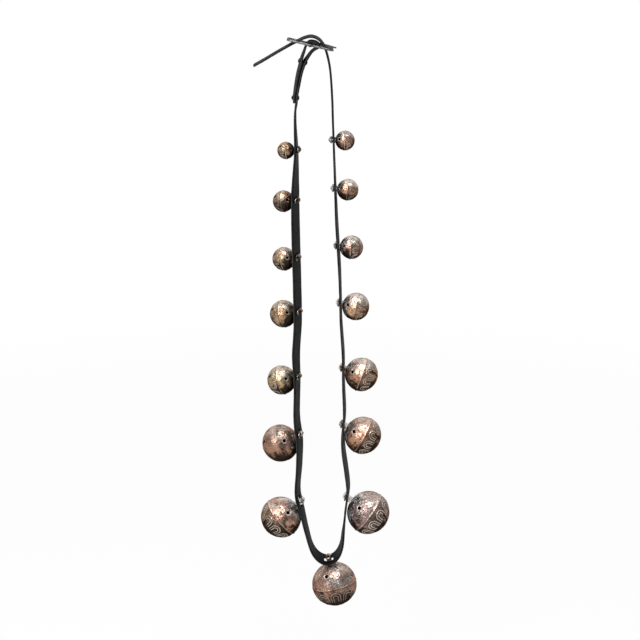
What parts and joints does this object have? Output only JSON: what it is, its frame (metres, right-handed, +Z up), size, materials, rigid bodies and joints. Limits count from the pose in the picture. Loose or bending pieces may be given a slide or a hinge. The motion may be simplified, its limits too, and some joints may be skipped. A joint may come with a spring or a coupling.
{
  "type": "sleigh bell strap",
  "caption": "Leather harness strap buckled into a hanging loop and set with graduated cast bronze bells, each rocking on a split pin with a loose pellet inside.",
  "frame": {"origin": "the hanging point: underside of the buckle's centre bar, midway across the strap", "axes": "+Z up along the hanging loop, +X to the right across the loop towards the leg with the larger run of bells, +Y away from the viewer along the strap's width"},
  "size_m": [0.1954, 0.0763, 0.8549],
  "materials": {
    "leather": "old blackened harness leather",
    "bell_bronze": "aged cast bronze, worn bright on ridges",
    "pellet_iron": "rough cast",
    "pin_steel": "dull wire",
    "buckle_steel": "worn, dark in the corners",
    "rivet_copper": "browned copper"
  },
  "bodies": {
    "strap": {"strap": "leather", "rivet_upper": "rivet_copper", "rivet_lower": "rivet_copper", "burr_upper": "rivet_copper", "burr_lower": "rivet_copper", "pin_01": "pin_steel", "pin_02": "pin_steel", "pin_03": "pin_steel", "pin_04": "pin_steel", "pin_05": "pin_steel", "pin_06": "pin_steel", "pin_07": "pin_steel", "pin_08": "pin_steel", "pin_09": "pin_steel", "pin_10": "pin_steel", "pin_11": "pin_steel", "pin_12": "pin_steel", "pin_13": "pin_steel", "pin_14": "pin_steel", "pin_15": "pin_steel"},
    "buckle": {"buckle_frame": "buckle_steel"},
    "tongue": {"buckle_tongue": "buckle_steel"},
    "bell_01": {"bell_01": "bell_bronze"},
    "pellet_01": {"pellet_01": "pellet_iron"},
    "bell_02": {"bell_02": "bell_bronze"},
    "pellet_02": {"pellet_02": "pellet_iron"},
    "bell_03": {"bell_03": "bell_bronze"},
    "pellet_03": {"pellet_03": "pellet_iron"},
    "bell_04": {"bell_04": "bell_bronze"},
    "pellet_04": {"pellet_04": "pellet_iron"},
    "bell_05": {"bell_05": "bell_bronze"},
    "pellet_05": {"pellet_05": "pellet_iron"},
    "bell_06": {"bell_06": "bell_bronze"},
    "pellet_06": {"pellet_06": "pellet_iron"},
    "bell_07": {"bell_07": "bell_bronze"},
    "pellet_07": {"pellet_07": "pellet_iron"},
    "bell_08": {"bell_08": "bell_bronze"},
    "pellet_08": {"pellet_08": "pellet_iron"},
    "bell_09": {"bell_09": "bell_bronze"},
    "pellet_09": {"pellet_09": "pellet_iron"},
    "bell_10": {"bell_10": "bell_bronze"},
    "pellet_10": {"pellet_10": "pellet_iron"},
    "bell_11": {"bell_11": "bell_bronze"},
    "pellet_11": {"pellet_11": "pellet_iron"},
    "bell_12": {"bell_12": "bell_bronze"},
    "pellet_12": {"pellet_12": "pellet_iron"},
    "bell_13": {"bell_13": "bell_bronze"},
    "pellet_13": {"pellet_13": "pellet_iron"},
    "bell_14": {"bell_14": "bell_bronze"},
    "pellet_14": {"pellet_14": "pellet_iron"},
    "bell_15": {"bell_15": "bell_bronze"},
    "pellet_15": {"pellet_15": "pellet_iron"}
  },
  "joints": [
    {"name": "bell_01_swing", "type": "hinge", "parent": "strap", "child": "bell_01", "pos_m": [-0.01668, -0.00028, -0.14149], "axis": [0.0828, 0.9966, 0.0009], "range_deg": [0, 8]},
    {"name": "pellet_01_roll", "type": "hinge", "parent": "bell_01", "child": "pellet_01", "pos_m": [-0.03416, 0.00118, -0.1429], "axis": [0, 1, 0], "continuous": true},
    {"name": "bell_02_swing", "type": "hinge", "parent": "strap", "child": "bell_02", "pos_m": [-0.01849, -0.00093, -0.21254], "axis": [0.2809, 0.9597, -0.0006], "range_deg": [0, 15.6]},
    {"name": "pellet_02_roll", "type": "hinge", "parent": "bell_02", "child": "pellet_02", "pos_m": [-0.03825, 0.00485, -0.21531], "axis": [0, 1, 0], "continuous": true},
    {"name": "bell_03_swing", "type": "hinge", "parent": "strap", "child": "bell_03", "pos_m": [-0.01739, -0.00099, -0.29474], "axis": [0.3006, 0.9537, 0.0073], "range_deg": [0, 19.4]},
    {"name": "pellet_03_roll", "type": "hinge", "parent": "bell_03", "child": "pellet_03", "pos_m": [-0.0383, 0.00563, -0.29901], "axis": [0, 1, 0], "continuous": true},
    {"name": "bell_04_swing", "type": "hinge", "parent": "strap", "child": "bell_04", "pos_m": [-0.01584, -0.00099, -0.37483], "axis": [0.3007, 0.9537, 0.0026], "range_deg": [0, 27]},
    {"name": "pellet_04_roll", "type": "hinge", "parent": "bell_04", "child": "pellet_04", "pos_m": [-0.03971, 0.00655, -0.38106], "axis": [0, 1, 0], "continuous": true},
    {"name": "bell_05_swing", "type": "hinge", "parent": "strap", "child": "bell_05", "pos_m": [-0.0174, -0.0008, -0.47395], "axis": [0.24, 0.9707, 0.0088], "range_deg": [0, 30.8]},
    {"name": "pellet_05_roll", "type": "hinge", "parent": "bell_05", "child": "pellet_05", "pos_m": [-0.04308, 0.00562, -0.48226], "axis": [0, 1, 0], "continuous": true},
    {"name": "bell_06_swing", "type": "hinge", "parent": "strap", "child": "bell_06", "pos_m": [-0.01534, -0.00077, -0.56424], "axis": [0.2302, 0.9727, 0.0301], "range_deg": [0, 46]},
    {"name": "pellet_06_roll", "type": "hinge", "parent": "bell_06", "child": "pellet_06", "pos_m": [-0.04582, 0.00701, -0.58257], "axis": [0, 1, 0], "continuous": true},
    {"name": "bell_07_swing", "type": "hinge", "parent": "strap", "child": "bell_07", "pos_m": [-0.01335, 0.00031, -0.67193], "axis": [-0.0598, 0.9981, -0.0139], "range_deg": [0, 53.6]},
    {"name": "pellet_07_roll", "type": "hinge", "parent": "bell_07", "child": "pellet_07", "pos_m": [-0.04575, -0.00201, -0.69905], "axis": [0, 1, 0], "continuous": true},
    {"name": "bell_08_swing", "type": "hinge", "parent": "strap", "child": "bell_08", "pos_m": [0.02609, 0.00106, -0.76651], "axis": [0.0281, 0.9816, -0.1887], "range_deg": [-16, 24]},
    {"name": "pellet_08_roll", "type": "hinge", "parent": "bell_08", "child": "pellet_08", "pos_m": [0.03538, -0.00724, -0.80831], "axis": [0, 1, 0], "continuous": true},
    {"name": "bell_09_swing", "type": "hinge", "parent": "strap", "child": "bell_09", "pos_m": [0.05165, 0.00037, -0.66573], "axis": [-0.1081, -0.994, 0.0133], "range_deg": [0, 57.4]},
    {"name": "pellet_09_roll", "type": "hinge", "parent": "bell_09", "child": "pellet_09", "pos_m": [0.08616, -0.00372, -0.69068], "axis": [0, 1, 0], "continuous": true},
    {"name": "bell_10_swing", "type": "hinge", "parent": "strap", "child": "bell_10", "pos_m": [0.04527, 0.00032, -0.54899], "axis": [-0.0944, -0.9955, 0.0091], "range_deg": [0, 46]},
    {"name": "pellet_10_roll", "type": "hinge", "parent": "bell_10", "child": "pellet_10", "pos_m": [0.07673, -0.00282, -0.56616], "axis": [0, 1, 0], "continuous": true},
    {"name": "bell_11_swing", "type": "hinge", "parent": "strap", "child": "bell_11", "pos_m": [0.04425, 0.00023, -0.46091], "axis": [-0.0698, -0.9976, -0.0004], "range_deg": [0, 38.4]},
    {"name": "pellet_11_roll", "type": "hinge", "parent": "bell_11", "child": "pellet_11", "pos_m": [0.07389, -0.00184, -0.47105], "axis": [0, 1, 0], "continuous": true},
    {"name": "bell_12_swing", "type": "hinge", "parent": "strap", "child": "bell_12", "pos_m": [0.03963, 0.00017, -0.36253], "axis": [-0.0523, -0.9986, -0.001], "range_deg": [0, 27]},
    {"name": "pellet_12_roll", "type": "hinge", "parent": "bell_12", "child": "pellet_12", "pos_m": [0.06479, -0.00114, -0.36808], "axis": [0, 1, 0], "continuous": true},
    {"name": "bell_13_swing", "type": "hinge", "parent": "strap", "child": "bell_13", "pos_m": [0.03577, 0.00023, -0.27816], "axis": [-0.0696, -0.9976, -0.0047], "range_deg": [0, 19.4]},
    {"name": "pellet_13_roll", "type": "hinge", "parent": "bell_13", "child": "pellet_13", "pos_m": [0.05794, -0.00131, -0.28043], "axis": [0, 1, 0], "continuous": true},
    {"name": "bell_14_swing", "type": "hinge", "parent": "strap", "child": "bell_14", "pos_m": [0.03143, 0.00012, -0.19584], "axis": [-0.0358, -0.9994, -0.0015], "range_deg": [0, 15.6]},
    {"name": "pellet_14_roll", "type": "hinge", "parent": "bell_14", "child": "pellet_14", "pos_m": [0.0521, -0.00062, -0.1978], "axis": [0, 1, 0], "continuous": true},
    {"name": "bell_15_swing", "type": "hinge", "parent": "strap", "child": "bell_15", "pos_m": [0.02876, 0.00003, -0.1277], "axis": [-0.0087, -1, -0.0003], "range_deg": [0, 11.8]},
    {"name": "pellet_15_roll", "type": "hinge", "parent": "bell_15", "child": "pellet_15", "pos_m": [0.04788, -0.00014, -0.12891], "axis": [0, 1, 0], "continuous": true},
    {"name": "buckle_rock", "type": "hinge", "parent": "strap", "child": "buckle", "pos_m": [0, 0, 0.0019], "axis": [0, 1, 0], "range_deg": [-3, 3]},
    {"name": "tongue_lift", "type": "hinge", "parent": "buckle", "child": "tongue", "pos_m": [0, 0, 0.0019], "axis": [0, -1, 0], "range_deg": [0, 4]}
  ]
}
